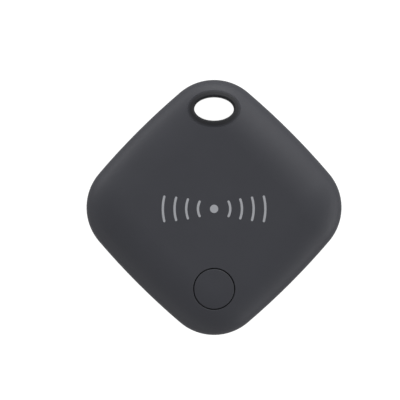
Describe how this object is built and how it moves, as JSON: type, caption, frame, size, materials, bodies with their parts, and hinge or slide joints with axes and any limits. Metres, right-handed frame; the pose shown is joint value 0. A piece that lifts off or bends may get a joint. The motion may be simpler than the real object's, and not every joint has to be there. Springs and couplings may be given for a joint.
{
  "type": "bluetooth tracker tag",
  "caption": "Pebble-shaped wireless tracker tag with a keyring slot near one corner, a push button near the opposite one and a coin-cell battery under a twist-off rear cover.",
  "frame": {"origin": "middle of the plan outline, on the flat back of the tag", "axes": "+Z out of the front face through the thickness, +Y from the middle towards the keyring slot, +X to the right when the front is seen with the slot at the top"},
  "size_m": [0.046, 0.046, 0.0086],
  "materials": {
    "casing_plastic": "matte",
    "liner_plastic": "satin",
    "button_plastic": "matte",
    "black_rubber": "matte",
    "foam": "matte",
    "switch_plastic": "satin",
    "sprung_steel": "satin",
    "stamped_steel": "satin",
    "board_laminate": "satin",
    "moulded_package": "matte",
    "crystal_metal": "satin",
    "white_ceramic": "matte",
    "ferrite": "matte",
    "tan_ceramic": "matte",
    "resistor_body": "satin",
    "tinned_metal": "satin",
    "adhesive_tape": "matte",
    "sounder_brass": "satin",
    "sounder_ceramic": "matte",
    "silvering": "satin",
    "red_insulation": "satin",
    "black_insulation": "satin",
    "cell_steel": "satin",
    "cell_gasket": "satin",
    "cathode_powder": "matte",
    "separator_felt": "matte",
    "anode_metal": "satin",
    "cradle_plastic": "matte"
  },
  "bodies": {
    "housing": {"front_shell": "casing_plastic", "back_shell": "casing_plastic", "slot_liner": "liner_plastic", "perimeter_seal": "black_rubber", "button_membrane": "black_rubber", "switch_base": "switch_plastic", "switch_dome": "sprung_steel", "positive_contacts": "sprung_steel", "negative_contact": "sprung_steel", "switch_frame": "stamped_steel", "switch_terminals": "stamped_steel", "board_screws": "stamped_steel", "main_board": "board_laminate", "bluetooth_chip": "moulded_package", "clock_crystal": "moulded_package", "driver_transistor": "moulded_package", "diodes": "moulded_package", "main_crystal": "crystal_metal", "chip_antenna": "white_ceramic", "boost_inductor": "ferrite", "matching_coils": "ferrite", "capacitors": "tan_ceramic", "reservoir_capacitor": "tan_ceramic", "resistors": "resistor_body", "component_ends": "tinned_metal", "transistor_legs": "tinned_metal", "solder_joints": "tinned_metal", "sounder_tape": "adhesive_tape", "sounder_plate": "sounder_brass", "sounder_ceramic": "sounder_ceramic", "sounder_electrode": "silvering", "sounder_lead_red": "red_insulation", "sounder_lead_black": "black_insulation", "cell_can": "cell_steel", "cell_cap": "cell_steel", "cell_gasket": "cell_gasket", "cell_cathode": "cathode_powder", "cell_separator": "separator_felt", "cell_anode": "anode_metal", "cell_cradle": "cradle_plastic"},
    "button": {"button_cap": "button_plastic"},
    "switch_plunger": {"switch_plunger": "switch_plastic"},
    "cover_seal": {"cover_seal": "black_rubber"},
    "battery_cover": {"battery_cover": "casing_plastic", "cover_pad": "foam"}
  },
  "joints": [
    {"name": "button_press", "type": "slide", "parent": "housing", "child": "button", "axis": [0, 0, -1], "range_m": [0, 0.00015], "stiffness_N_per_m": 3000, "springref_m": -0.00015, "deforming": ["button_membrane", "switch_dome"]},
    {"name": "plunger_press", "type": "slide", "parent": "housing", "child": "switch_plunger", "axis": [0, 0, -1], "range_m": [0, 0.00015]},
    {"name": "cover_lift", "type": "slide", "parent": "housing", "child": "cover_seal", "axis": [0, 0, -1], "range_m": [0, 0.015]},
    {"name": "cover_turn", "type": "hinge", "parent": "cover_seal", "child": "battery_cover", "pos_m": [0, 0, 0.0006], "axis": [0, 0, 1], "range_deg": [0, 35]}
  ],
  "couplings": [
    {"joint": "plunger_press", "follows": "button_press", "ratio": 1}
  ]
}
